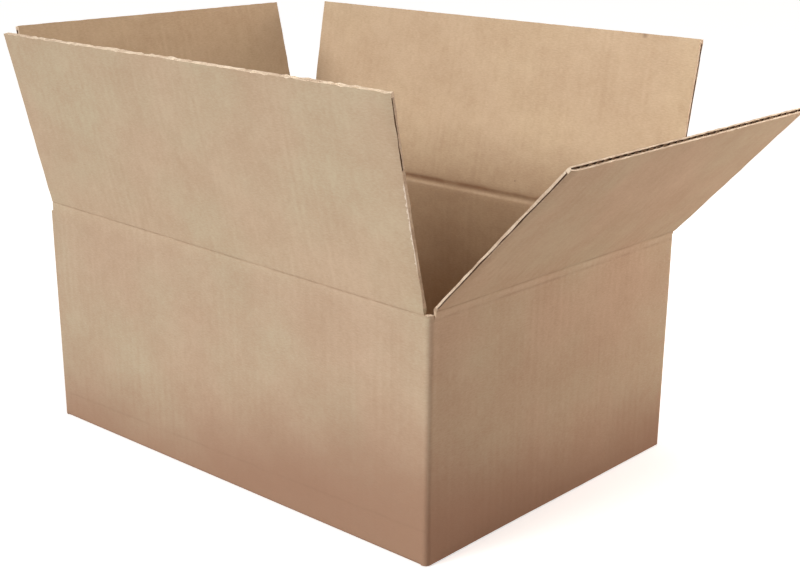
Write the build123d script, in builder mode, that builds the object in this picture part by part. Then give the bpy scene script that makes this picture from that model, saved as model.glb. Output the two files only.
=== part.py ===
from build123d import *
import math
import os

os.makedirs("parts", exist_ok=True)

# Carton sizes in millimetres, outside to outside
length = 400.0
width = 284.0
score_height = 176.0

# Corrugated board with a C flute
board = 3.8
liner = 0.35
medium = 0.3
flute_pitch = 7.8
flute_crest = 1.4
channel_floor = 0.3
channel_bend = 0.95
bend_rise = 0.4

# Scores, slots and glued seam of the blank
slot = 6.0
slot_drop = 1.8
corner_radius = 4.0
seam = 0.3
tab_width = 35.0
tab_inset = 6.0
tab_slope = 10.0

# Folds of the top flaps
fold_depth = 0.95
layer_gap = 0.4
tip_drop = 0.85
tip_half = 0.1
meet_gap = 0.8
open_wedge = 15.0
crest_depth = 12.0
crest_outer = 0.15
crest_inner = 0.35
crest_slope = 1.02
front_lean = 13.0
back_lean = 10.5
right_lean = 42.5
left_lean = 13.5

# Bottom flaps and the strip of tape under their seam
tape_width = 48.0
tape_thickness = 0.1
tape_short = 14.0
bottom_radius = 3.0
bottom_gap = 0.3
foot_lift = 0.9
bottom_flute_depth = 14.0

# Sizes that follow from those above
half_length = length / 2
half_width = width / 2
flap_setback = board / 2 + slot / 2
long_span = length - 2 * flap_setback
short_span = width - 2 * flap_setback
fold_offset = board + layer_gap
long_fold = score_height + fold_offset / 2
short_fold = score_height - fold_offset / 2
long_reach = half_width - fold_depth - meet_gap / 2
short_reach = long_reach + fold_offset
inner_depth = board - fold_depth
slot_bottom = score_height - slot_drop
floor_low = tape_thickness
floor_high = floor_low + board
minor_low = floor_high + bottom_gap
minor_high = minor_low + board
minor_end = half_length - long_reach - board
minor_reach = half_length - board - minor_end
minor_middle = minor_end + minor_reach / 2
seam_x = board - half_length
tab_root = half_width - board
wall_foot = floor_low + foot_lift
trim_height = short_fold - crest_depth
tab_low = minor_high + tab_inset
tab_high = slot_bottom - tab_inset

# Crushed tapers either side of a fold, on its outer and inner face
flap_outer_run = (fold_depth - tip_half) / math.tan(math.radians(open_wedge))
flap_inner_run = inner_depth - tip_half
wall_outer_run = tip_drop + (fold_depth + crest_outer) / math.tan(math.radians(open_wedge - 1))
wall_inner_run = tip_drop + (inner_depth - crest_inner) * crest_slope
sealed = flap_outer_run + 1.5


def fold_plane(out_x, out_y, distance, height, lean):
    # Lies in the board on its fold line, with y up the board and z outward
    level = math.cos(math.radians(lean))
    return Plane(
        origin=(out_x * distance, out_y * distance, height),
        x_dir=(-out_y, out_x, 0),
        z_dir=(out_x * level, out_y * level, -math.sin(math.radians(lean))),
    )


def side_plane(leaf):
    # Cross section of a fold, with x outward and y up the board
    return Plane(origin=leaf.origin, x_dir=leaf.z_dir, z_dir=leaf.x_dir * -1)


def edge_plane(leaf, reach):
    # Free edge of a flap, looking at the ends of its flutes
    middle = fold_depth - board / 2
    return Plane(
        origin=leaf.origin + leaf.y_dir * reach + leaf.z_dir * middle,
        x_dir=leaf.x_dir,
        z_dir=leaf.y_dir,
    )


def flap_section(leaf, reach):
    # Board with its foot crushed thin at the fold
    with BuildSketch(side_plane(leaf)) as section:
        Polygon(
            (-tip_half, 0),
            (tip_half, 0),
            (fold_depth, flap_outer_run),
            (fold_depth, reach),
            (-inner_depth, reach),
            (-inner_depth, flap_inner_run),
            align=None,
        )
    return section.sketch


def flute_ends(plane, span):
    # Channels on both sides of the wave that stands between the liners
    count = int((span - 2 * liner) // flute_pitch)
    top = board / 2 - liner
    bottom = top - medium
    wide = (flute_pitch - flute_crest) / 2
    with BuildSketch(plane) as ends:
        for side, number in ((1, count), (-1, count - 1)):
            with GridLocations(flute_pitch, 1, number, 1):
                Polygon(
                    (-wide, side * top),
                    (wide, side * top),
                    (channel_bend, side * (bend_rise - bottom)),
                    (channel_floor, side * -bottom),
                    (-channel_floor, side * -bottom),
                    (-channel_bend, side * (bend_rise - bottom)),
                    align=None,
                )
    return ends.sketch


front_wall = fold_plane(0, -1, half_width - fold_depth, long_fold, 0)
back_wall = fold_plane(0, 1, half_width - fold_depth, long_fold, 0)
right_wall = fold_plane(1, 0, half_length - fold_depth, short_fold, 0)
left_wall = fold_plane(-1, 0, half_length - fold_depth, short_fold, 0)

front_leaf = fold_plane(0, -1, half_width - fold_depth, long_fold, front_lean)
back_leaf = fold_plane(0, 1, half_width - fold_depth, long_fold, back_lean)
right_leaf = fold_plane(1, 0, half_length - fold_depth, short_fold, right_lean)
left_leaf = fold_plane(-1, 0, half_length - fold_depth, short_fold, left_lean)

# Folded blank: four walls, glue tab and the four bottom flaps
with BuildPart() as carton:
    # Walls in plan, scored round three corners and cut short at the fourth
    with BuildSketch(Plane.XY.offset(wall_foot)):
        outline = Rectangle(length, width)
        scored = outline.vertices().sort_by(Axis((0, 0, 0), (-1, 1, 0)))[:3]
        fillet(scored, corner_radius)
        Rectangle(length - 2 * board, width - 2 * board, mode=Mode.SUBTRACT)
    extrude(amount=slot_bottom - wall_foot)
    under = faces().filter_by(Plane.XY).sort_by(Axis.Z)[0]
    fillet(under.outer_wire().edges(), bottom_radius - foot_lift)
    # Open line where the last wall ends beside the turned-in glue tab
    with BuildSketch(Plane.XY):
        with Locations((seam_x + seam / 2, half_width)):
            Rectangle(seam, 2 * board)
    extrude(amount=score_height, mode=Mode.SUBTRACT)
    # Room above the scores, where each wall gets its own crushed crest
    with BuildSketch(Plane.XY.offset(trim_height)):
        Rectangle(long_span, width + 2)
        Rectangle(length + 2, short_span)
    extrude(amount=score_height - trim_height, mode=Mode.SUBTRACT)
    for leaf, span in (
        (front_wall, long_span),
        (back_wall, long_span),
        (right_wall, short_span),
        (left_wall, short_span),
    ):
        depth = leaf.origin.Z - trim_height
        with BuildSketch(side_plane(leaf)):
            Polygon(
                (fold_depth, -depth),
                (fold_depth, -wall_outer_run),
                (-crest_outer, -tip_drop),
                (-crest_inner, -tip_drop),
                (-inner_depth, -wall_inner_run),
                (-inner_depth, -depth),
                align=None,
            )
        extrude(amount=span / 2, both=True)
    # Glue tab, turned in from the back wall and flat against the left wall
    with BuildSketch(Plane.YZ.offset(seam_x)):
        Polygon(
            (tab_root, tab_low),
            (tab_root, tab_high),
            (tab_root - tab_width, tab_high - tab_slope),
            (tab_root - tab_width, tab_low + tab_slope),
            align=None,
        )
    extrude(amount=board)
    # Outer bottom flaps, turned in from the long walls up to the seam
    with BuildSketch(Plane.YZ):
        bend = Polygon(
            (meet_gap / 2, floor_low),
            (half_width, floor_low),
            (half_width, floor_high + board),
            (half_width - board, floor_high + board),
            (half_width - board, floor_high),
            (meet_gap / 2, floor_high),
            align=None,
        )
        fillet(bend.vertices().sort_by_distance((0, half_width, floor_low))[0], bottom_radius)
        mirror(about=Plane.YZ)
    extrude(amount=long_span / 2, both=True)
    # Inner bottom flaps, turned in from the short walls over the outer ones
    with BuildSketch(Plane.XY.offset(minor_low)):
        with Locations((half_length - board / 2, 0), (board / 2 - half_length, 0)):
            Rectangle(board, short_span)
        with Locations((minor_middle, 0), (-minor_middle, 0)):
            Rectangle(minor_reach, short_span)
    extrude(amount=board)
    for side in (1, -1):
        minor_edge = Plane(
            origin=(side * minor_end, 0, minor_low + board / 2),
            x_dir=(0, 1, 0),
            z_dir=(-side, 0, 0),
        )
        ends = flute_ends(minor_edge, short_span)
        extrude(ends, amount=-bottom_flute_depth, mode=Mode.SUBTRACT)
carton.part.label = "carton"

# Top flaps of the long walls
with BuildPart() as front_flap:
    extrude(flap_section(front_leaf, long_reach), amount=long_span / 2, both=True)
    ends = flute_ends(edge_plane(front_leaf, long_reach), long_span)
    extrude(ends, amount=sealed - long_reach, mode=Mode.SUBTRACT)
front_flap.part.label = "front_flap"

with BuildPart() as back_flap:
    extrude(flap_section(back_leaf, long_reach), amount=long_span / 2, both=True)
    ends = flute_ends(edge_plane(back_leaf, long_reach), long_span)
    extrude(ends, amount=sealed - long_reach, mode=Mode.SUBTRACT)
back_flap.part.label = "back_flap"

# Top flaps of the short walls
with BuildPart() as right_flap:
    extrude(flap_section(right_leaf, short_reach), amount=short_span / 2, both=True)
    ends = flute_ends(edge_plane(right_leaf, short_reach), short_span)
    extrude(ends, amount=sealed - short_reach, mode=Mode.SUBTRACT)
right_flap.part.label = "right_flap"

with BuildPart() as left_flap:
    extrude(flap_section(left_leaf, short_reach), amount=short_span / 2, both=True)
    ends = flute_ends(edge_plane(left_leaf, short_reach), short_span)
    extrude(ends, amount=sealed - short_reach, mode=Mode.SUBTRACT)
left_flap.part.label = "left_flap"

# Strip of packing tape that holds the bottom seam shut
with BuildPart() as bottom_tape:
    with BuildSketch(Plane.XY):
        Rectangle(length - 2 * tape_short, tape_width)
    extrude(amount=tape_thickness)
bottom_tape.part.label = "bottom_tape"

export_step(carton.part, "parts/carton.step")
export_step(front_flap.part, "parts/front_flap.step")
export_step(back_flap.part, "parts/back_flap.step")
export_step(right_flap.part, "parts/right_flap.step")
export_step(left_flap.part, "parts/left_flap.step")
export_step(bottom_tape.part, "parts/bottom_tape.step")
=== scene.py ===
import bpy
import math
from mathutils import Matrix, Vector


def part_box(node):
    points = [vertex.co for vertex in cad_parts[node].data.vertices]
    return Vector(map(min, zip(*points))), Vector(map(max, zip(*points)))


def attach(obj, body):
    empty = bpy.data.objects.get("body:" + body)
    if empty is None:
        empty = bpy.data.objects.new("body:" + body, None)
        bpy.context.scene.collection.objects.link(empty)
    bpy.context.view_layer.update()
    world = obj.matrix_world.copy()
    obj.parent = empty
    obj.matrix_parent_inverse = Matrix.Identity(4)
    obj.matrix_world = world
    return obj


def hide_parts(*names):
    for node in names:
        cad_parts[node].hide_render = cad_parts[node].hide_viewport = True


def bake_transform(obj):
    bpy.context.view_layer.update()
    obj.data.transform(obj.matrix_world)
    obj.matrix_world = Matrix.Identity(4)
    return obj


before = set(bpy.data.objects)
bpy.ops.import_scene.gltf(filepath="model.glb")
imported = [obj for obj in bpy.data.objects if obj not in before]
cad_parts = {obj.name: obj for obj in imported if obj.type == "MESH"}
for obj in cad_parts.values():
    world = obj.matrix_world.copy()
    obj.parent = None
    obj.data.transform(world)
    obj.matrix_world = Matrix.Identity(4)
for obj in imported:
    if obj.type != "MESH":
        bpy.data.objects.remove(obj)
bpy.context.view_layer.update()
print("frame loaded:", ", ".join(sorted(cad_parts)))


# small helpers for working in edit mode
def deselectAll():
    if bpy.context.object and bpy.context.object.mode != "OBJECT":
        bpy.ops.object.mode_set(mode="OBJECT")
    bpy.ops.object.select_all(action="DESELECT")


def activate(piece):
    deselectAll()
    piece.select_set(True)
    bpy.context.view_layer.objects.active = piece


def pick(piece, kind, test):
    # leaves the piece in edit mode with the chosen VERT, EDGE or FACE parts selected
    activate(piece)
    bpy.ops.object.mode_set(mode="EDIT")
    bpy.ops.mesh.select_mode(type=kind)
    bpy.ops.mesh.select_all(action="DESELECT")
    bpy.ops.object.mode_set(mode="OBJECT")
    mesh = piece.data
    if kind == "VERT":
        for vert in mesh.vertices:
            vert.select = test(vert.co)
    elif kind == "EDGE":
        for edge in mesh.edges:
            a, b = (mesh.vertices[i].co for i in edge.vertices)
            edge.select = test(a, b)
    else:
        for face in mesh.polygons:
            face.select = test(face.center, face.normal)
    bpy.ops.object.mode_set(mode="EDIT")


def everyPoint(co):
    return True


def shiftPoints(piece, test, offset):
    pick(piece, "VERT", test)
    bpy.ops.transform.translate(value=offset)
    bpy.ops.object.mode_set(mode="OBJECT")


def turnPoints(piece, test, angle, axis, centre):
    pick(piece, "VERT", test)
    bpy.ops.transform.rotate(value=angle, orient_axis=axis, center_override=centre)
    bpy.ops.object.mode_set(mode="OBJECT")


def roughenPoints(piece, test, offset, seed):
    pick(piece, "VERT", test)
    bpy.ops.transform.vertex_random(offset=offset, seed=seed)
    bpy.ops.object.mode_set(mode="OBJECT")


def deleteFaces(piece, test):
    pick(piece, "FACE", test)
    bpy.ops.mesh.delete(type="FACE")
    bpy.ops.object.mode_set(mode="OBJECT")


def roundEdges(piece, test, radius):
    pick(piece, "EDGE", test)
    bpy.ops.mesh.bevel(offset=radius, segments=6, profile=0.5)
    bpy.ops.object.mode_set(mode="OBJECT")


def applyTransform():
    bpy.ops.object.transform_apply(location=True, rotation=True, scale=True)


def addBlock(name, low, high, coats=()):
    deselectAll()
    bpy.ops.mesh.primitive_cube_add(size=1, location=[(a + b) / 2 for a, b in zip(low, high)])
    block = bpy.context.object
    block.name = name
    block.scale = [b - a for a, b in zip(low, high)]
    applyTransform()
    for coat in coats:
        block.data.materials.append(coat)
    return block


def cutLoops(piece, axis, places):
    # one straight cut through the whole piece at each place along an axis
    normal = [1 if i == axis else 0 for i in range(3)]
    for place in places:
        pick(piece, "VERT", everyPoint)
        bpy.ops.mesh.bisect(plane_co=[place * n for n in normal], plane_no=normal)
    bpy.ops.object.mode_set(mode="OBJECT")


def splitAlong(piece, axis, cuts):
    # evenly spaced cuts on every edge that runs along an axis
    others = [i for i in range(3) if i != axis]
    pick(piece, "EDGE", lambda a, b: all(abs(a[i] - b[i]) < 1e-6 for i in others))
    bpy.ops.mesh.subdivide(number_cuts=cuts)
    bpy.ops.object.mode_set(mode="OBJECT")


def joinInto(piece, others):
    activate(piece)
    for other in others:
        other.select_set(True)
    bpy.ops.object.join()


def paint(piece, coat, test):
    # gives the chosen faces one of the piece's materials, by its place in the list
    for face in piece.data.polygons:
        if test(face.center, face.normal):
            face.material_index = coat


def writeSheet(piece, place):
    # the piece's own map: metres along the fold and up the board of the flat blank
    sheet = piece.data.uv_layers.get("sheet") or piece.data.uv_layers.new(name="sheet")
    for face in piece.data.polygons:
        for loop in face.loop_indices:
            co = piece.data.vertices[piece.data.loops[loop].vertex_index].co
            sheet.data[loop].uv = place(co, face.normal)


# small helpers for shader nodes
def feed(tree, node, feeds):
    # gives each named input a value or a link
    for key, value in feeds.items():
        if isinstance(value, bpy.types.NodeSocket):
            tree.links.new(value, node.inputs[key])
        else:
            node.inputs[key].default_value = value
    return node


def put(tree, kind, feeds=None, **settings):
    # adds a node with its options and inputs
    node = tree.nodes.new("ShaderNode" + kind)
    for key, value in settings.items():
        setattr(node, key, value)
    return feed(tree, node, feeds or {})


def calc(tree, operation, a, b=0.0, c=0.0):
    return put(tree, "Math", {0: a, 1: b, 2: c}, operation=operation).outputs[0]


def around(tree, value, gain):
    # a noise of 0 to 1, centred on 0 and scaled
    return calc(tree, "MULTIPLY", calc(tree, "SUBTRACT", value, 0.5), gain)


def ramp(tree, value, low, high, start=0.0, end=1.0):
    feeds = {"Value": value, "From Min": low, "From Max": high, "To Min": start, "To Max": end}
    return put(tree, "MapRange", feeds, interpolation_type="SMOOTHSTEP").outputs["Result"]


def noise(tree, vector, scale, detail, roughness=0.5):
    feeds = {"Vector": vector, "Scale": scale, "Detail": detail, "Roughness": roughness}
    return put(tree, "TexNoise", feeds).outputs["Fac"]


def stretch(tree, vector, scale):
    return put(tree, "Mapping", {"Vector": vector, "Scale": scale}).outputs[0]


def mixColour(tree, factor, a, b, blend="MIX"):
    return put(tree, "Mix", {0: factor, 6: a, 7: b}, data_type="RGBA", blend_type=blend).outputs[2]


def newGroup(name, inputs, outputs):
    tree = bpy.data.node_groups.new(name, "ShaderNodeTree")
    for socket, kind in inputs.items():
        tree.interface.new_socket(socket, in_out="INPUT", socket_type="NodeSocket" + kind)
    for socket in outputs:
        tree.interface.new_socket(socket, in_out="OUTPUT", socket_type="NodeSocketFloat")
    return tree, tree.nodes.new("NodeGroupInput").outputs, tree.nodes.new("NodeGroupOutput").inputs


def useGroup(tree, group, feeds):
    node = tree.nodes.new("ShaderNodeGroup")
    node.node_tree = group
    return feed(tree, node, feeds).outputs


def newCoat(name):
    coat = bpy.data.materials.new(name)
    coat.use_nodes = True
    return coat, coat.node_tree, coat.node_tree.nodes["Principled BSDF"]


def dress(tree, shader, feeds, height, strength, distance):
    # feeds the shader, with its surface pressed by a height
    bump = put(tree, "Bump", {"Height": height, "Strength": strength, "Distance": distance})
    feed(tree, shader, feeds)
    feed(tree, shader, {"Normal": bump.outputs["Normal"]})


# a noise is its scale, detail and sometimes roughness, and a range is its ends and what they become
paperLook = {
    "cloud": (24.0, 5.0, 0.62), "blotch": (130.0, 3.0, 0.55), "blotchShare": 0.45,
    "fibreStretch": (330.0, 1050.0, 1.0), "fibre": (1.0, 3.0, 0.6),
    "brushStretch": (300.0, 9.0, 1.0), "brush": (1.0, 2.0), "brushGain": 2.4,
    "patches": (13.0, 2.0), "patchRange": (0.38, 0.68, 0.25, 1.0), "fluteTone": 0.32,
    "drift": (9.0, 3.0), "driftRange": (0.36, 0.64), "fluteHeight": 0.2, "brushHeight": 0.25,
}
lineLook = {"waver": (34.0, 3.0), "halfLength": 0.22, "brokenRange": (0.38, 0.58, 0.3, 1.0)}
frayLook = {"torn": (420.0, 3.0), "ragged": 0.004, "fadeLow": 0.012, "fadeHigh": 0.004}


def makePaperFibre():
    # cloudy mottle, short fibres and the washboard of the flutes under the liner
    tree, given, gives = newGroup(
        "paperFibre",
        {"Sheet": "Vector", "Mottle": "Float", "Fibre": "Float", "Streak": "Float", "Pitch": "Float"},
        ["Tone", "Hue", "Height"],
    )
    sheet, look = given["Sheet"], paperLook
    cloud = noise(tree, sheet, *look["cloud"])
    blotch = noise(tree, sheet, *look["blotch"])
    fibre = noise(tree, stretch(tree, sheet, look["fibreStretch"]), *look["fibre"])
    brush = noise(tree, stretch(tree, sheet, look["brushStretch"]), *look["brush"])
    along = put(tree, "SeparateXYZ", {0: sheet}).outputs["X"]
    phase = calc(tree, "DIVIDE", calc(tree, "MULTIPLY", along, 2 * math.pi), given["Pitch"])
    shown = ramp(tree, noise(tree, sheet, *look["patches"]), *look["patchRange"])
    flute = calc(tree, "MULTIPLY", calc(tree, "SINE", phase), shown)
    streak = calc(tree, "MULTIPLY", around(tree, brush, look["brushGain"]), shown)
    streak = calc(tree, "MULTIPLY_ADD", flute, look["fluteTone"], streak)
    hair = around(tree, fibre, given["Fibre"])
    tone = around(tree, cloud, given["Mottle"])
    tone = calc(tree, "MULTIPLY_ADD", around(tree, blotch, given["Mottle"]), look["blotchShare"], tone)
    tone = calc(tree, "ADD", tone, hair)
    tone = calc(tree, "MULTIPLY_ADD", streak, given["Streak"], tone)
    tree.links.new(calc(tree, "ADD", tone, 0.5), gives["Tone"])
    tree.links.new(ramp(tree, noise(tree, sheet, *look["drift"]), *look["driftRange"]), gives["Hue"])
    height = calc(tree, "MULTIPLY_ADD", flute, look["fluteHeight"], hair)
    tree.links.new(calc(tree, "MULTIPLY_ADD", brush, look["brushHeight"], height), gives["Height"])
    return tree


def makeLineMark():
    # a soft painted line across one wall of the blank, dark for shade and pale for highlight, which may
    # climb a little along the fold
    tree, given, gives = newGroup(
        "lineMark",
        {"Sheet": "Vector", "Column": "Float", "Level": "Float", "Slant": "Float", "Width": "Float",
         "Waver": "Float"},
        ["Mask"],
    )
    place = put(tree, "SeparateXYZ", {0: given["Sheet"]})
    along = calc(tree, "SUBTRACT", place.outputs["X"], given["Column"])
    waver = noise(tree, given["Sheet"], *lineLook["waver"])
    level = calc(tree, "MULTIPLY_ADD", along, given["Slant"], given["Level"])
    level = calc(tree, "ADD", around(tree, waver, given["Waver"]), level)
    off = calc(tree, "ABSOLUTE", calc(tree, "SUBTRACT", place.outputs["Y"], level))
    near = ramp(tree, off, given["Width"], 0.0)
    here = calc(tree, "LESS_THAN", calc(tree, "ABSOLUTE", along), lineLook["halfLength"])
    broken = ramp(tree, waver, *lineLook["brokenRange"])
    tree.links.new(calc(tree, "MULTIPLY", calc(tree, "MULTIPLY", near, here), broken), gives["Mask"])
    return tree


def makeSpotMark():
    # a small round mark at one place on the board
    tree, given, gives = newGroup(
        "spotMark", {"Sheet": "Vector", "Place": "Vector", "Radius": "Float"}, ["Mask"]
    )
    away = put(tree, "VectorMath", {0: given["Sheet"], 1: given["Place"]}, operation="DISTANCE")
    tree.links.new(ramp(tree, away.outputs["Value"], given["Radius"], 0.0), gives["Mask"])
    return tree


def makeFrayMark():
    # torn fibres along one upright edge of the board, in short runs
    tree, given, gives = newGroup(
        "frayMark",
        {"Sheet": "Vector", "Edge": "Float", "Low": "Float", "High": "Float", "Width": "Float"},
        ["Mask"],
    )
    place = put(tree, "SeparateXYZ", {0: given["Sheet"]}).outputs
    torn = noise(tree, given["Sheet"], *frayLook["torn"])
    aside = calc(tree, "ABSOLUTE", calc(tree, "SUBTRACT", place["X"], given["Edge"]))
    aside = calc(tree, "ADD", around(tree, torn, frayLook["ragged"]), aside)
    near = calc(tree, "LESS_THAN", aside, given["Width"])
    above = ramp(tree, place["Y"], given["Low"], calc(tree, "ADD", given["Low"], frayLook["fadeLow"]))
    top = calc(tree, "SUBTRACT", given["High"], frayLook["fadeHigh"])
    below = ramp(tree, place["Y"], given["High"], top)
    tree.links.new(calc(tree, "MULTIPLY", near, calc(tree, "MULTIPLY", above, below)), gives["Mask"])
    return tree


paperFibre = makePaperFibre()
lineMark = makeLineMark()
spotMark = makeSpotMark()
frayMark = makeFrayMark()

# where each wall lies in the flat blank, and the colours of the painted shade and highlight along its folds
columns = {"front": 0.0, "right": 0.45, "back": 1.0, "left": 1.5}
flutePitch = 0.0078
shadeLine = (0.25, 0.15, 0.095, 1)
creaseShadeLine = (0.27, 0.145, 0.08, 1)
highlightLine = (0.72, 0.56, 0.43, 1)
# line: wall, level, slant, width, waver, colour and share of a painted line, dark for shade and pale for
# highlight
# speck: place, radius and share; fray: edge, low, high, width and share
kraftCoats = {
    "kraftOutside": {
        "light": (0.635, 0.50, 0.36, 1), "dark": (0.515, 0.38, 0.26, 1), "cool": (0.60, 0.53, 0.375, 1),
        "wallShade": (0.93, 0.90, 0.90, 1), "wallShadeTop": 0.182, "foot": (0.35, 0.205, 0.135, 1),
        "footShare": 0.88, "footAt": 0.20, "mottle": 0.9, "fibre": 0.9, "streak": 0.12,
        "lines": [
            ("front", 0.1778, -0.0205, 0.0012, 0.0012, shadeLine, 0.38),
            ("back", 0.1770, 0.0, 0.0011, 0.0012, shadeLine, 0.45),
            ("right", 0.1743, -0.002, 0.0038, 0.0006, highlightLine, 0.14),
            ("right", 0.1781, -0.002, 0.0026, 0.0012, shadeLine, 0.40),
            ("right", 0.1707, -0.002, 0.0018, 0.0012, shadeLine, 0.24),
            ("left", 0.1781, 0.0, 0.0026, 0.0012, shadeLine, 0.36),
            ("left", 0.1707, 0.0, 0.0018, 0.0012, shadeLine, 0.24),
            ("front", 0.0235, 0.012, 0.0016, 0.0040, shadeLine, 0.14),
        ],
        "specks": [],
        "frays": [(0.1951, 0.201, 0.264, 0.0008, 0.8), (0.3129, 0.225, 0.318, 0.0003, 0.5)],
    },
    # inside, the wall tint is deeper: painted shade that falls inside the box
    "kraftInside": {
        "light": (0.585, 0.445, 0.305, 1), "dark": (0.465, 0.33, 0.215, 1), "cool": (0.60, 0.465, 0.31, 1),
        "wallShade": (0.78, 0.715, 0.675, 1), "wallShadeTop": 0.235, "foot": (0.36, 0.22, 0.145, 1),
        "footShare": 0.3, "footAt": 0.20, "mottle": 0.9, "fibre": 0.9, "streak": 0.11,
        "lines": [
            ("back", 0.1796, -0.013, 0.0038, 0.0010, creaseShadeLine, 0.72),
            ("back", 0.1752, -0.013, 0.0018, 0.0008, highlightLine, 0.16),
            ("front", 0.1790, 0.0, 0.0036, 0.0010, creaseShadeLine, 0.45),
            ("left", 0.1765, 0.0, 0.0036, 0.0010, creaseShadeLine, 0.45),
            ("right", 0.1765, 0.0, 0.0036, 0.0010, creaseShadeLine, 0.45),
        ],
        "specks": [
            ((0.9522, 0.1908, 0), 0.0011, 0.75),
            ((0.9824, 0.2121, 0), 0.0009, 0.35),
            ((0.8509, 0.3176, 0), 0.0036, 0.50),
        ],
        "frays": [],
    },
}
# what both faces of the board share: the heights of the painted wall shade, the reach of the darker foot,
# partly dirt and partly painted contact shade, the shine and the marks' colours
kraftLook = {
    "wallShadeLow": 0.165, "waver": (11.0, 4.0), "waverReach": 0.04, "footReach": 0.105,
    "footDrop": (0.30, 0.03, 0.0, 0.045),
    "roughness": (0.90, 0.76), "specular": 0.32, "bump": (0.6, 0.00025),
    "speckColour": (0.16, 0.09, 0.06, 1), "frayColour": (0.86, 0.76, 0.64, 1),
}


def makeKraft(name, plan):
    coat, tree, shader = newCoat(name)
    look = kraftLook
    sheet = put(tree, "UVMap", uv_map="sheet").outputs["UV"]
    paper = useGroup(
        tree, paperFibre,
        {"Sheet": sheet, "Mottle": plan["mottle"], "Fibre": plan["fibre"], "Streak": plan["streak"],
         "Pitch": flutePitch},
    )
    pale = mixColour(tree, paper["Hue"], plan["light"], plan["cool"])
    colour = mixColour(tree, ramp(tree, paper["Tone"], 0.0, 1.0), plan["dark"], pale)
    # the walls are painted a little darker and redder than the flaps, as shade
    place = put(tree, "SeparateXYZ", {0: sheet}).outputs
    wallShaded = mixColour(tree, 1.0, colour, plan["wallShade"], "MULTIPLY")
    colour = mixColour(tree, ramp(tree, place["Y"], look["wallShadeLow"], plan["wallShadeTop"]), wallShaded, colour)
    # darker towards the foot, and higher up near one corner: partly dirt, partly painted contact shade
    waver = noise(tree, sheet, *look["waver"])
    aside = calc(tree, "ABSOLUTE", calc(tree, "SUBTRACT", place["X"], plan["footAt"]))
    level = calc(tree, "SUBTRACT", calc(tree, "ABSOLUTE", place["Y"]), ramp(tree, aside, *look["footDrop"]))
    level = calc(tree, "MULTIPLY_ADD", waver, look["waverReach"], level)
    foot = ramp(tree, level, look["footReach"], 0.0, 0.0, plan["footShare"])
    colour = mixColour(tree, foot, colour, plan["foot"])
    # painted shade and highlight along the folds
    for wall, level, slant, width, waver, shade, share in plan["lines"]:
        line = useGroup(
            tree, lineMark,
            {"Sheet": sheet, "Column": columns[wall], "Level": level, "Slant": slant, "Width": width,
             "Waver": waver},
        )
        colour = mixColour(tree, calc(tree, "MULTIPLY", line["Mask"], share), colour, shade)
    for spotPlace, radius, share in plan["specks"]:
        spot = useGroup(tree, spotMark, {"Sheet": sheet, "Place": spotPlace, "Radius": radius})
        mask = calc(tree, "MULTIPLY", spot["Mask"], share)
        colour = mixColour(tree, mask, colour, look["speckColour"])
    for edge, low, high, width, share in plan["frays"]:
        fray = useGroup(
            tree, frayMark, {"Sheet": sheet, "Edge": edge, "Low": low, "High": high, "Width": width}
        )
        mask = calc(tree, "MULTIPLY", fray["Mask"], share)
        colour = mixColour(tree, mask, colour, look["frayColour"])
    roughness = ramp(tree, paper["Tone"], 0.0, 1.0, *look["roughness"])
    feeds = {"Base Color": colour, "Roughness": roughness, "Specular IOR Level": look["specular"]}
    dress(tree, shader, feeds, paper["Height"], *look["bump"])
    return coat


cutLook = {
    "torn": (620.0, 4.0, 0.7), "broad": (90.0, 2.0), "share": 0.6, "range": (0.42, 0.78),
    "roughness": 0.92, "specular": 0.2, "bump": 0.8,
}
cutCoats = {
    "cutEdge": {"light": (0.84, 0.71, 0.55, 1), "dark": (0.57, 0.43, 0.31, 1), "depth": 0.0003},
    "fluteShade": {"light": (0.26, 0.165, 0.105, 1), "dark": (0.16, 0.095, 0.06, 1), "depth": 0.0002},
    "fluteWave": {"light": (0.46, 0.32, 0.21, 1), "dark": (0.30, 0.195, 0.125, 1), "depth": 0.0002},
}


def makeCut(name, plan):
    # torn fibres of a cut edge, or the shaded paper inside the flutes
    coat, tree, shader = newCoat(name)
    place = put(tree, "TexCoord").outputs["Object"]
    torn = noise(tree, place, *cutLook["torn"])
    broad = noise(tree, place, *cutLook["broad"])
    both = calc(tree, "MULTIPLY", calc(tree, "ADD", broad, torn), cutLook["share"])
    feeds = {
        "Base Color": mixColour(tree, ramp(tree, both, *cutLook["range"]), plan["dark"], plan["light"]),
        "Roughness": cutLook["roughness"], "Specular IOR Level": cutLook["specular"],
    }
    dress(tree, shader, feeds, torn, cutLook["bump"], plan["depth"])
    return coat


tapeLook = {
    "bubbles": (160.0, 2.0), "drawnStretch": (6.0, 240.0, 1.0), "drawn": (1.0, 2.0), "range": (0.35, 0.7),
    "dark": (0.34, 0.20, 0.10, 1), "light": (0.46, 0.29, 0.16, 1), "roughness": (0.3, 0.7, 0.16, 0.34),
    "bump": (0.4, 0.0002),
}


def makeTape():
    # brown packing tape, with small bubbles and the flutes pressing through
    coat, tree, shader = newCoat("packingTape")
    place = put(tree, "TexCoord").outputs["Object"]
    bubbles = noise(tree, place, *tapeLook["bubbles"])
    drawn = noise(tree, stretch(tree, place, tapeLook["drawnStretch"]), *tapeLook["drawn"])
    both = calc(tree, "MULTIPLY", calc(tree, "ADD", drawn, bubbles), 0.5)
    colour = mixColour(tree, ramp(tree, both, *tapeLook["range"]), tapeLook["dark"], tapeLook["light"])
    feeds = {"Base Color": colour, "Roughness": ramp(tree, both, *tapeLook["roughness"])}
    dress(tree, shader, feeds, both, *tapeLook["bump"])
    return coat


coats = [makeKraft(name, plan) for name, plan in kraftCoats.items()]
cutEdge, fluteShade, fluteWave = (makeCut(name, plan) for name, plan in cutCoats.items())
coats += [cutEdge, fluteShade]
# places in the list of coats, after the outside at 0
insideCoat, cutCoat, shadeCoat = 1, 2, 3
print("materials made:", len(bpy.data.materials))

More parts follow.
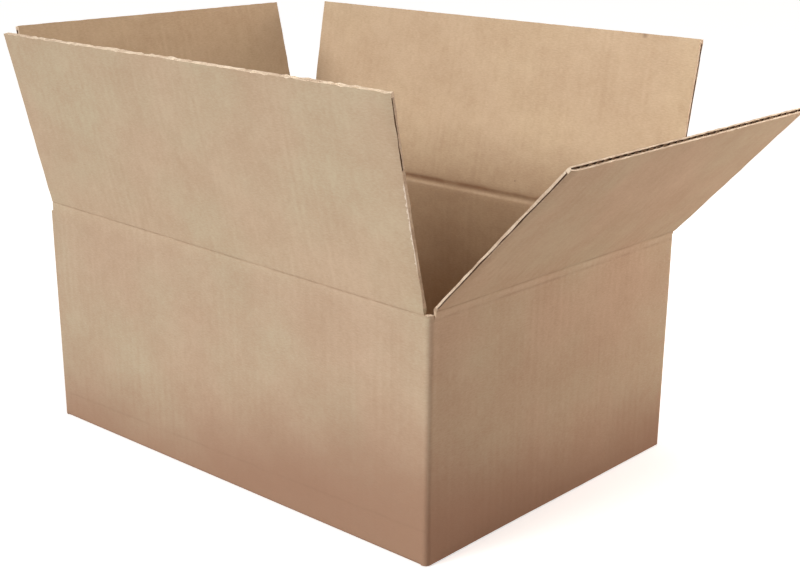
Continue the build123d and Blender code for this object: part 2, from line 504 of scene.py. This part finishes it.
# the board, its open edges, and the pinched side of a flap
# columns: distance in from the side and share of the pinch; rise: height from which it grows and by how much
board = {
    "thick": 0.0038, "medium": 0.00034, "troughDepth": 0.014, "shutDepth": 0.0018,
    "waveShort": 0.0006, "waveSink": 0.0002, "waveSteps": 12,
    "pinchOut": 0.0011, "pinchIn": 0.0004, "pinchShare": 0.7, "pinchBand": 0.0008,
    "pinchColumns": ((0.0001, 1.0), (0.0045, 0.2)),
    "pinchRise": ((0.0005, 0.4), (0.004, 0.3), (0.008, 0.3), (0.05, -0.12), (0.07, -0.15), (0.09, -0.15),
                  (0.11, -0.15)),
}


def makeWave(name, span, height, swing):
    # one flute is shaped, then repeated along the edge
    deselectAll()
    bpy.ops.mesh.primitive_plane_add(size=1, rotation=(math.radians(90), 0, 0))
    wave = bpy.context.object
    wave.name = name
    wave.scale = (flutePitch, height, 1)
    applyTransform()
    steps = board["waveSteps"]
    splitAlong(wave, 0, steps - 1)
    for step in range(steps + 1):
        x = flutePitch * (step / steps - 0.5)
        side = swing * math.cos(2 * math.pi * step / steps)
        shiftPoints(wave, lambda co: abs(co.x - x) < 1e-5, (0, side, 0))
    count = int(span / flutePitch)
    row = wave.modifiers.new("row", "ARRAY")
    row.count = count
    row.use_relative_offset = False
    row.use_constant_offset = True
    row.constant_offset_displace = (flutePitch, 0, 0)
    row.use_merge_vertices = True
    row.merge_threshold = 0.00002
    wall = wave.modifiers.new("wall", "SOLIDIFY")
    wall.thickness = board["medium"]
    wall.offset = 0
    activate(wave)
    bpy.ops.object.modifier_apply(modifier="row")
    bpy.ops.object.modifier_apply(modifier="wall")
    shiftPoints(wave, everyPoint, (-flutePitch * (count - 1) / 2, 0, 0))
    wave.data.materials.append(fluteWave)
    return wave


def openEdge(piece, test, rim, inward):
    # hollows a cut edge between its two liners, so that the flutes can stand in it
    pick(piece, "FACE", test)
    bpy.ops.mesh.inset(thickness=rim, use_even_offset=True)
    bpy.ops.mesh.extrude_region_move(TRANSFORM_OT_translate={"value": inward})
    bpy.ops.object.mode_set(mode="OBJECT")


def standWave(piece, name, span, rim, deep, reach, middle):
    # sets a wave between the liners of an opened edge, just below its rim
    swing = board["thick"] / 2 - rim - board["medium"] / 2
    wave = makeWave(name, span - 2 * rim, deep - board["waveShort"], swing)
    shiftPoints(wave, everyPoint, (0, middle, reach - deep / 2 - board["waveSink"]))
    joinInto(piece, [wave])


# top flaps, each modelled upright over its fold and then leaned back
# lines: height from the fold, depth of the mark outside and share of the lean
# crush: low end, high end and depth of the mark inside
longFold = {
    "reach": 0.14065, "wallPart": 0.0080, "lineHalf": 0.0009,
    "lines": [(-0.0011, 0.00045, 1.0)], "crush": (-0.0045, 0.0030, 0.0015),
}
askewFold = dict(longFold, lines=[(-0.0003, 0.00045, 1.0)])
shortFold = {
    "reach": 0.14485, "wallPart": 0.0052, "lineHalf": 0.0017,
    "lines": [(-0.0032, 0.00028, 0.42), (0.0040, 0.00040, 0.58)], "crush": (-0.0036, 0.0044, 0.0017),
}
# pinched: which side is pinched thin, if any; closed: whether the flutes are crushed shut
# skew: slope of the fold; wider: how far one side stands out
flaps = {
    "frontFlap": {
        "node": "front_flap", "column": "front", "turn": 0, "foldAt": (0, -0.14105, 0.1781), "span": 0.3902,
        "lean": 13.0, "fold": askewFold, "rim": 0.00175, "rough": 0.0007, "grooveFrom": 0.093, "seed": 3,
        "pinched": 1, "closed": True, "skew": 0.0205, "wider": 0.0,
    },
    "backFlap": {
        "node": "back_flap", "column": "back", "turn": 180, "foldAt": (0, 0.14105, 0.1781), "span": 0.3902,
        "lean": 10.5, "fold": longFold, "rim": 0.00065, "rough": 0.00022, "grooveFrom": 0.0065, "seed": 5,
        "pinched": 0, "closed": False, "skew": 0.0, "wider": 0.0019,
    },
    "rightFlap": {
        "node": "right_flap", "column": "right", "turn": 90, "foldAt": (0.19905, 0, 0.1739), "span": 0.2742,
        "lean": 43.0, "fold": shortFold, "rim": 0.00105, "rough": 0.00025, "grooveFrom": 0.0065, "seed": 7,
        "pinched": -1, "closed": False, "skew": 0.0, "wider": 0.0,
    },
    "leftFlap": {
        "node": "left_flap", "column": "left", "turn": 270, "foldAt": (-0.19905, 0, 0.1739), "span": 0.2742,
        "lean": 13.5, "fold": shortFold, "rim": 0.00065, "rough": 0.00022, "grooveFrom": 0.0065, "seed": 11,
        "pinched": 0, "closed": False, "skew": 0.0, "wider": 0.0,
    },
}
# heights and widths that every top flap shares
flapParts = {
    "outSide": -0.00095, "crushSteps": 8, "lineClear": 0.0003, "firstRow": 0.0085, "lastRow": 0.0030,
    "rowStep": 0.0075, "cutFrom": 0.0055, "shadeDepth": 0.02, "closedInset": 0.0025,
    "grooveInset": 0.0004, "grooveShare": 0.44, "grooveDepth": 0.0008, "sideRough": 0.00034,
    "wideInset": 0.0024, "wideFrom": -0.0038,
}
outSide = flapParts["outSide"]          # outer face of the board, measured from the fold line
inSide = outSide + board["thick"]


def foldRows(fold):
    # heights of the close rows around a fold, with three for each pressed line
    low, high = fold["crush"][:2]
    steps, half = flapParts["crushSteps"], fold["lineHalf"]
    rows = [low + (high - low) * i / steps for i in range(steps + 1)]
    for height, depth, share in fold["lines"]:
        rows = [z for z in rows if abs(z - height) > half + flapParts["lineClear"]]
        rows += [height - half, height, height + half]
    return sorted(rows)


def pressFold(flap, fold, rows):
    # lines pressed into the outside, and a rounded crush along the inside
    low, high, deepest = fold["crush"]
    half = fold["lineHalf"]
    for z in rows:
        marks = [depth * max(0, 1 - abs(z - height) / half) for height, depth, share in fold["lines"]]
        across = min(1, max(0, (z - low) / (high - low)))
        inward = deepest * math.sin(math.pi * across) ** 2
        shiftPoints(flap, lambda co: abs(co.z - z) < 1e-5 and co.y < 0, (0, sum(marks), 0))
        shiftPoints(flap, lambda co: abs(co.z - z) < 1e-5 and co.y > 0.0004, (0, -inward, 0))


def pinchSide(flap, side, half):
    # one cut side is pinched thinner than the board, most of all low down
    for inward, share in board["pinchColumns"]:
        near, far = half - inward, half - inward + board["pinchBand"]
        for low, rise in board["pinchRise"]:
            shiftPoints(
                flap, lambda co: near < co.x * side < far and co.z > low and co.y < 0,
                (0, board["pinchOut"] * share * rise, 0),
            )
            shiftPoints(
                flap, lambda co: near < co.x * side < far and co.z > low and co.y > 0.0012,
                (0, -board["pinchIn"] * share * rise, 0),
            )


def grooveSides(flap, plan):
    # the first hollow flute down each side
    half, reach, start = plan["span"] / 2, plan["fold"]["reach"], plan["grooveFrom"]
    for side in (1, -1):
        pressed = board["pinchOut"] * board["pinchShare"] if side == plan["pinched"] else 0.0
        centre = (0, outSide + pressed + flapParts["grooveInset"], 0)
        inward = (-flapParts["grooveDepth"] * side, 0, 0)
        pick(flap, "FACE", lambda c, n: n.x * side > 0.9 and start < c.z < reach - 0.004
             and abs(c.x) > half - 1e-5)
        bpy.ops.mesh.inset(thickness=flapParts["grooveInset"], use_even_offset=True)
        bpy.ops.transform.resize(value=(1, flapParts["grooveShare"], 1), center_override=centre)
        bpy.ops.mesh.extrude_region_move(TRANSFORM_OT_translate={"value": inward})
        bpy.ops.object.mode_set(mode="OBJECT")
        paint(flap, shadeCoat, lambda c, n: 0.0003 < c.y - outSide - pressed < 0.0018
              and c.x * side > half - 0.0015 and start < c.z < reach - 0.003)


def tiltPoints(flap, chosen, angle, height):
    # turns the chosen points, by number, in the plane of the board about its middle line
    pick(flap, "VERT", lambda co: False)
    bpy.ops.object.mode_set(mode="OBJECT")
    for i in chosen:
        flap.data.vertices[i].select = True
    bpy.ops.object.mode_set(mode="EDIT")
    bpy.ops.transform.rotate(value=angle, orient_axis="Y", center_override=(0, 0, height))
    bpy.ops.object.mode_set(mode="OBJECT")


def tiltFold(flap, fold, rows, skew):
    # a press that runs askew tilts the pressed rows, and less of the rows around them
    middle, half = fold["lines"][0][0], fold["lineHalf"]
    numbers = [[v.index for v in flap.data.vertices if abs(v.co.z - z) < 1e-5] for z in rows]
    for z, row in zip(rows, numbers):
        below = (z + fold["wallPart"]) / (middle - half + fold["wallPart"])
        above = (flapParts["firstRow"] - z) / (flapParts["firstRow"] - middle - half)
        tiltPoints(flap, row, -skew * min(1, below, above), z)


def leanFlap(flap, fold, lean, skew):
    # leans it back at the pressed lines, which are level while it is tilted
    middle, everyNumber = fold["lines"][0][0], range(len(flap.data.vertices))
    if skew:
        tiltPoints(flap, everyNumber, skew, middle)
    for height, depth, share in fold["lines"]:
        for step in (-0.9, 0, 0.9):
            pivot = height + fold["lineHalf"] * step
            angle = -math.radians(lean * share / 3)
            turnPoints(flap, lambda co: co.z > pivot + 0.0001, angle, "X", (0, 0, pivot))
    if skew:
        tiltPoints(flap, everyNumber, -skew, middle)


def makeFlap(name, plan):
    fold, half, rim = plan["fold"], plan["span"] / 2, plan["rim"]
    reach, first, last = fold["reach"], flapParts["firstRow"], flapParts["lastRow"]
    flap = addBlock(name, (-half, outSide, -fold["wallPart"]), (half, inSide, reach), coats)
    rows = foldRows(fold)
    steps = int((reach - first - last) / flapParts["rowStep"])
    cutLoops(flap, 2, rows + [first + (reach - first - last) * i / steps for i in range(steps + 1)])
    splitAlong(flap, 0, int(plan["span"] / flutePitch * 2))
    pressFold(flap, fold, rows)
    if plan["pinched"]:
        pinchSide(flap, plan["pinched"], half)
    paint(flap, insideCoat, lambda c, n: n.y > 0.3)
    paint(flap, cutCoat, lambda c, n: abs(n.z) > 0.9 or (abs(n.x) > 0.9 and c.z > flapParts["cutFrom"]))
    # open flutes along the free edge
    deep = board["shutDepth"] if plan["closed"] else board["troughDepth"]
    openEdge(flap, lambda c, n: n.z > 0.9 and c.z > reach - 0.001, rim, (0, 0, -deep))
    paint(flap, shadeCoat, lambda c, n: rim < c.y - outSide < board["thick"] - rim + 1e-5
          and reach - flapParts["shadeDepth"] < c.z < reach - 0.0002 and abs(c.x) < half - 0.0002)
    grooveSides(flap, plan)
    standWave(flap, name + "Wave", plan["span"], rim, deep, reach, (outSide + inSide) / 2)
    if plan["closed"]:
        paint(flap, cutCoat, lambda c, n: c.z > reach - flapParts["shadeDepth"]
              and outSide + 0.0004 < c.y < inSide - 0.0004 and abs(c.x) < half - flapParts["closedInset"])
    # ragged cut edges
    roughenPoints(flap, lambda co: co.z > reach - 0.0001, plan["rough"], plan["seed"])
    roughenPoints(
        flap, lambda co: abs(co.x) > half - 0.0001 and 0.004 < co.z < reach - 0.001,
        flapParts["sideRough"], plan["seed"] + 1,
    )
    if plan["wider"]:
        edge, start = flapParts["wideInset"] - half, flapParts["wideFrom"]
        shiftPoints(flap, lambda co: co.x < edge and co.z > start, (-plan["wider"], 0, 0))
    if plan["skew"]:
        tiltFold(flap, fold, rows, plan["skew"])
    column, level = columns[plan["column"]], plan["foldAt"][2]
    writeSheet(flap, lambda co, normal: (column + co.x, level + co.z))
    leanFlap(flap, fold, plan["lean"], plan["skew"])
    flap.rotation_euler = (0, 0, math.radians(plan["turn"]))
    flap.location = plan["foldAt"]
    activate(flap)
    applyTransform()
    bpy.ops.object.shade_smooth_by_angle(angle=math.radians(35))
    return flap


for name, plan in flaps.items():
    plan["piece"] = makeFlap(name, plan)
    print("flap", name, len(plan["piece"].data.polygons), "faces")

# walls, bottom flaps and glue tab, all one folded blank
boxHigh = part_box("carton")[1]
body = {
    "halfLength": boxHigh[0], "halfWidth": boxHigh[1], "slotBottom": 0.1742, "corner": 0.004, "foot": 0.0010,
    "flapFoot": 0.0039, "tapeGap": 0.0001, "bottomRound": 0.003, "meetGap": 0.0004,
    "minorLow": 0.0042, "minorHigh": 0.0080, "minorEnd": 0.05555, "minorRim": 0.0007, "minorRough": 0.00014,
    "minorSeed": 21, "shadeDepth": 0.02, "seam": 0.0003,
    "tabGap": 0.00005, "tabSunk": 0.0002, "tabLow": 0.014, "tabHigh": 0.1682, "tabWidth": 0.035,
    "tabSlope": 0.010, "tabCut": 0.12,
    "rows": (0.02, 0.045, 0.07, 0.095, 0.12, 0.145), "columnStep": 0.03,
}
halfX, halfY = body["halfLength"], body["halfWidth"]
longHalf = flaps["frontFlap"]["span"] / 2
shortHalf = flaps["rightFlap"]["span"] / 2
longTop = flaps["frontFlap"]["foldAt"][2] - longFold["wallPart"]
shortTop = flaps["rightFlap"]["foldAt"][2] - shortFold["wallPart"]
seamX = board["thick"] - halfX


def makeWalls():
    walls = addBlock("carton", (-halfX, -halfY, body["foot"]), (halfX, halfY, body["slotBottom"]), coats)
    deleteFaces(walls, lambda c, n: abs(n.z) > 0.9)
    # three scored corners, and the fourth open beside its glue tab
    roundEdges(
        walls, lambda a, b: abs(a.x - b.x) < 1e-6 and abs(a.y - b.y) < 1e-6 and not (a.x < 0 < a.y),
        body["corner"],
    )
    openX = seamX + body["seam"]
    cutLoops(walls, 0, [openX, -longHalf, longHalf])
    cutLoops(walls, 1, [-shortHalf, shortHalf])
    cutLoops(walls, 2, [body["flapFoot"], shortTop, longTop])
    deleteFaces(walls, lambda c, n: n.y > 0.9 and c.x < openX)
    # the flaps bring their own part of each wall above and below
    deleteFaces(walls, lambda c, n: abs(n.y) > 0.9 and abs(c.x) < longHalf
                and (c.z > longTop or c.z < body["flapFoot"]))
    deleteFaces(walls, lambda c, n: abs(n.x) > 0.9 and abs(c.y) < shortHalf and c.z > shortTop)
    cutLoops(walls, 2, body["rows"])
    cutLoops(walls, 0, [body["columnStep"] * i for i in range(-6, 7)])
    cutLoops(walls, 1, [body["columnStep"] * i for i in range(-4, 5)])
    wall = walls.modifiers.new("wall", "SOLIDIFY")
    wall.thickness = board["thick"]
    wall.offset = -1
    wall.use_even_offset = True
    wall.use_rim = True
    activate(walls)
    bpy.ops.object.modifier_apply(modifier="wall")
    paint(walls, insideCoat, lambda c, n: abs(c.x) < halfX - 0.003 and abs(c.y) < halfY - 0.003
          and abs(n.z) < 0.5)
    paint(walls, cutCoat, lambda c, n: abs(n.z) > 0.7 and c.z > 0.15)
    return walls


def makeBottomFlap(side):
    # turned in from a long wall, rounded where it bends
    near, far = sorted((side * body["meetGap"], side * halfY))
    low = (-longHalf, near, body["tapeGap"])
    high = (longHalf, far, body["flapFoot"])
    flap = addBlock("bottomFlap", low, high, coats)
    bend = side * halfY
    roundEdges(
        flap, lambda a, b: abs(a.y - bend) < 1e-6 and abs(b.y - bend) < 1e-6 and a.z < 0.001 and b.z < 0.001,
        body["bottomRound"],
    )
    paint(flap, insideCoat, lambda c, n: n.z > 0.9)
    paint(flap, cutCoat, lambda c, n: abs(n.x) > 0.9 or (abs(n.y) > 0.9 and abs(c.y) < 0.01))
    return flap


def makeMinorFlap(side):
    # turned in from a short wall over the other two, with its flutes open at the free edge
    reach = halfX - board["thick"] - body["minorEnd"]
    half, rim, deep = board["thick"] / 2, body["minorRim"], board["troughDepth"]
    flap = addBlock("minorFlap", (-shortHalf, -half, 0), (shortHalf, half, reach), coats)
    splitAlong(flap, 0, int(2 * shortHalf / flutePitch))
    paint(flap, cutCoat, lambda c, n: abs(n.x) > 0.9 or abs(n.z) > 0.9)
    openEdge(flap, lambda c, n: n.z > 0.9, rim, (0, 0, -deep))
    paint(flap, shadeCoat, lambda c, n: abs(c.y) < 0.0013
          and reach - body["shadeDepth"] < c.z < reach - 0.0002 and abs(c.x) < shortHalf - 0.0002)
    standWave(flap, "minorWave", 2 * shortHalf, rim, deep, reach, 0)
    paint(flap, insideCoat, lambda c, n: n.y > 0.9 and c.y > 0.0018)
    roughenPoints(flap, lambda co: co.z > reach - 0.0001, body["minorRough"], body["minorSeed"] + side)
    # lay it down: its length points to the middle of the box and its outer liner faces down
    flap.rotation_euler = (math.radians(90), 0, math.radians(-90 * side))
    flap.location = (side * (halfX - board["thick"]), 0, (body["minorLow"] + body["minorHigh"]) / 2)
    activate(flap)
    applyTransform()
    return flap


def makeGlueTab():
    # turned in from the back wall, flat against the left wall, with sloped ends
    root = halfY - board["thick"]
    low = (seamX + body["tabGap"], root - body["tabWidth"], body["tabLow"])
    high = (seamX + board["thick"], root + body["tabSunk"], body["tabHigh"])
    tab = addBlock("glueTab", low, high, coats)
    slope = body["tabSlope"]
    shiftPoints(tab, lambda co: co.y < root - 0.01 and co.z > 0.1, (0, 0, -slope))
    shiftPoints(tab, lambda co: co.y < root - 0.01 and co.z < 0.1, (0, 0, slope))
    # cut where the wall is, so that both warp alike
    cutLoops(tab, 2, body["rows"])
    cutLoops(tab, 1, [body["tabCut"]])
    paint(tab, insideCoat, lambda c, n: n.x > 0.9)
    paint(tab, cutCoat, lambda c, n: abs(n.x) < 0.5)
    return tab


def cartonSheet(co, normal):
    # walls read along the blank, and the bottom flaps carry on below them
    if abs(normal.z) > 0.7 and co.z < 0.02:
        if co.z < body["minorLow"] - 0.0001:
            return (columns["front" if co.y < 0 else "back"] + co.x, abs(co.y) - halfY)
        return (columns["left" if co.x < 0 else "right"] + co.y, abs(co.x) - halfX)
    if abs(normal.x) > abs(normal.y):
        return (columns["right"] + co.y, co.z) if co.x > 0 else (columns["left"] - co.y, co.z)
    return (columns["front"] + co.x, co.z) if co.y < 0 else (columns["back"] - co.x, co.z)


carton = makeWalls()
joinInto(carton, [makeBottomFlap(1), makeBottomFlap(-1), makeMinorFlap(1), makeMinorFlap(-1), makeGlueTab()])
writeSheet(carton, cartonSheet)
activate(carton)
bpy.ops.object.shade_smooth_by_angle(angle=math.radians(35))
print("carton", len(carton.data.polygons), "faces")

# a real box is never quite flat: one slow warp runs through all of it
# axis: size and strength
warp = {"X": (0.17, 0.0012), "Y": (0.21, 0.0014)}
for axis, (size, strength) in warp.items():
    slow = bpy.data.textures.new("slowWarp" + axis, "CLOUDS")
    slow.noise_scale = size
    slow.noise_depth = 1
    for piece in [carton] + [plan["piece"] for plan in flaps.values()]:
        bend = piece.modifiers.new("warp", "DISPLACE")
        bend.texture = slow
        bend.texture_coords = "LOCAL"
        bend.direction = axis
        bend.strength = strength
        bend.mid_level = 0.5
        activate(piece)
        bpy.ops.object.modifier_apply(modifier="warp")
print("warp applied")

for name, plan in flaps.items():
    flap = plan["piece"]
    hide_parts(plan["node"])
    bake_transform(flap)
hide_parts("carton")
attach(carton, "box")

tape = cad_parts["bottom_tape"]
tape.data.materials.clear()
tape.data.materials.append(makeTape())

# camera at the photograph's place
camera = bpy.data.objects.new("Camera", bpy.data.cameras.new("Camera"))
bpy.context.scene.collection.objects.link(camera)
camera.location = (0.73762, -0.76809, 0.44292)
camera.rotation_euler = [math.radians(a) for a in (70.684, -0.501, 41.756)]
camera.data.lens = 63.27
camera.data.shift_x = -0.0096
camera.data.shift_y = 0.0793
bpy.context.scene.camera = camera

# pale floor and plain soft studio light
studio = {
    "fill": (1.0, 0.85, 0.765, 1), "fillStrength": 0.14, "floorSize": 14.0,
    "floorSeen": (0.90, 0.90, 0.90, 1), "floorBounce": (0.72, 0.64, 0.60, 1), "floorGlow": 0.58,
    "sun": {"from": (-0.30, -1.0, 0.50), "spread": 24, "energy": 2.46, "colour": (1.0, 0.995, 0.985)},
    "lamps": {
        "side": {"at": (0.75, 0.75, 0.45), "size": 0.5, "energy": 5.75, "colour": (1.0, 0.86, 0.775)},
        "over": {"at": (0.20, 0.08, 0.80), "size": 0.25, "energy": 1.85, "colour": (1.0, 0.97, 0.92)},
        "top": {"at": (0.1, 0.2, 2.2), "size": 2.0, "energy": 9.0, "colour": (1.0, 0.98, 0.95)},
    },
    "lookAt": (0, 0, 0.12),
}


def addLamp(name, kind, plan, towards):
    lamp = bpy.data.objects.new(name, bpy.data.lights.new(name, kind))
    bpy.context.scene.collection.objects.link(lamp)
    lamp.data.energy = plan["energy"]
    lamp.data.color = plan["colour"]
    dx, dy, dz = towards
    lamp.rotation_euler = (math.acos(-dz / math.sqrt(dx * dx + dy * dy + dz * dz)), 0, math.atan2(-dx, dy))
    return lamp


sun = addLamp("key", "SUN", studio["sun"], [-a for a in studio["sun"]["from"]])
sun.data.angle = math.radians(studio["sun"]["spread"])
for name, plan in studio["lamps"].items():
    lamp = addLamp(name, "AREA", plan, [a - b for a, b in zip(studio["lookAt"], plan["at"])])
    lamp.data.size = plan["size"]
    lamp.location = plan["at"]

# the world lights the box softly and looks white
world = bpy.data.worlds.new("Studio")
bpy.context.scene.world = world
world.use_nodes = True
tree = world.node_tree
path = put(tree, "LightPath").outputs
soft = feed(tree, tree.nodes["Background"], {"Color": studio["fill"], "Strength": studio["fillStrength"]})
white = put(tree, "Background", {"Color": (1, 1, 1, 1), "Strength": 1.0})
seen = calc(tree, "MAXIMUM", path["Is Camera Ray"], path["Is Glossy Ray"])
seen = calc(tree, "MAXIMUM", seen, path["Is Transmission Ray"])
choice = put(tree, "MixShader", {0: seen, 1: soft.outputs[0], 2: white.outputs[0]})
tree.links.new(choice.outputs[0], tree.nodes["World Output"].inputs["Surface"])

deselectAll()
bpy.ops.mesh.primitive_plane_add(size=studio["floorSize"])
floor = bpy.context.object
floor.name = "floor"
floorCoat, tree, shader = newCoat("paleFloor")
seen = put(tree, "LightPath").outputs["Is Camera Ray"]
feed(tree, shader, {
    "Base Color": mixColour(tree, seen, studio["floorBounce"], studio["floorSeen"]),
    "Roughness": 1.0, "Specular IOR Level": 0.0, "Emission Strength": studio["floorGlow"],
    "Emission Color": mixColour(tree, seen, (0, 0, 0, 1), (1, 1, 1, 1)),
})
floor.data.materials.append(floorCoat)

bpy.context.scene.view_settings.view_transform = "Standard"
print("floor, lamps and camera set")
